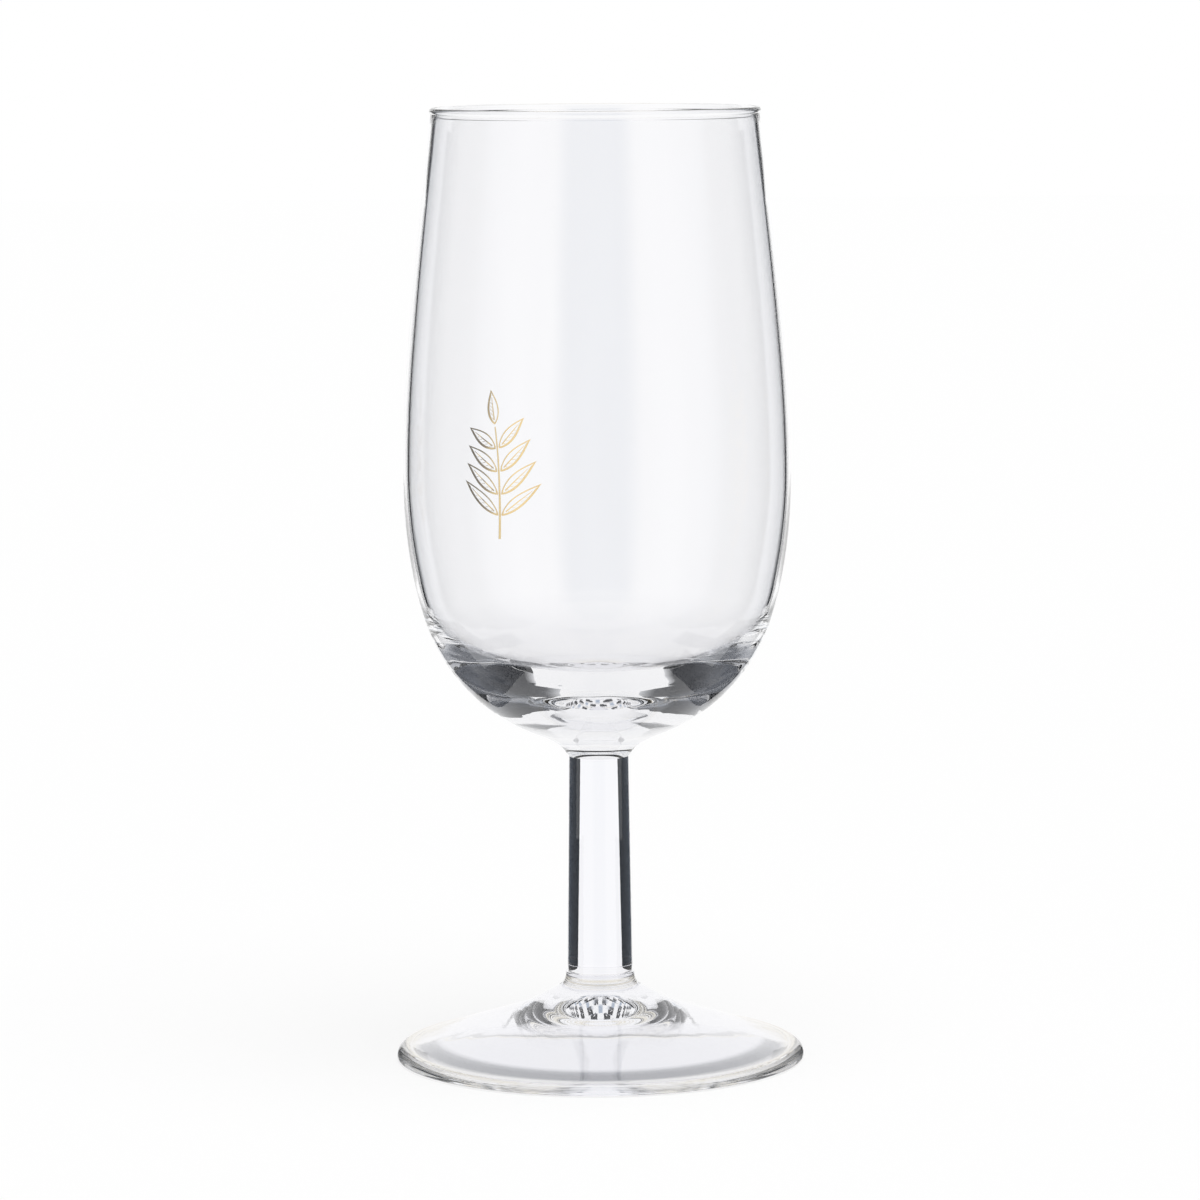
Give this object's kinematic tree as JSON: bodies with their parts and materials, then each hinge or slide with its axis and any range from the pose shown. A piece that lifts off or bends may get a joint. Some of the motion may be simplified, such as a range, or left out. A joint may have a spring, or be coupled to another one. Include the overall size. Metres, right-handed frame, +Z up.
{
  "type": "cognac glass",
  "caption": "Small stemmed cognac glass: a tall tulip bowl with a heavy solid base on a short tapered stem and a low conical foot, with a plain gold leaf sprig on the bowl.",
  "frame": {"origin": "centre of the foot's underside, on the surface that the glass stands on", "axes": "+Z up along the axis of the glass; the gold sprig is on the +Y side, turned towards -X"},
  "size_m": [0.0586, 0.0586, 0.136],
  "materials": {
    "bowl_glass": "clear, fire polished",
    "stem_glass": "clear, pressed and fire polished",
    "foot_glass": "clear, pressed and fire polished",
    "fired_gold": "fired gold print, bright"
  },
  "bodies": {
    "root": {"bowl": "bowl_glass", "stem": "stem_glass", "foot": "foot_glass", "gold_sprig": "fired_gold"}
  },
  "joints": []
}
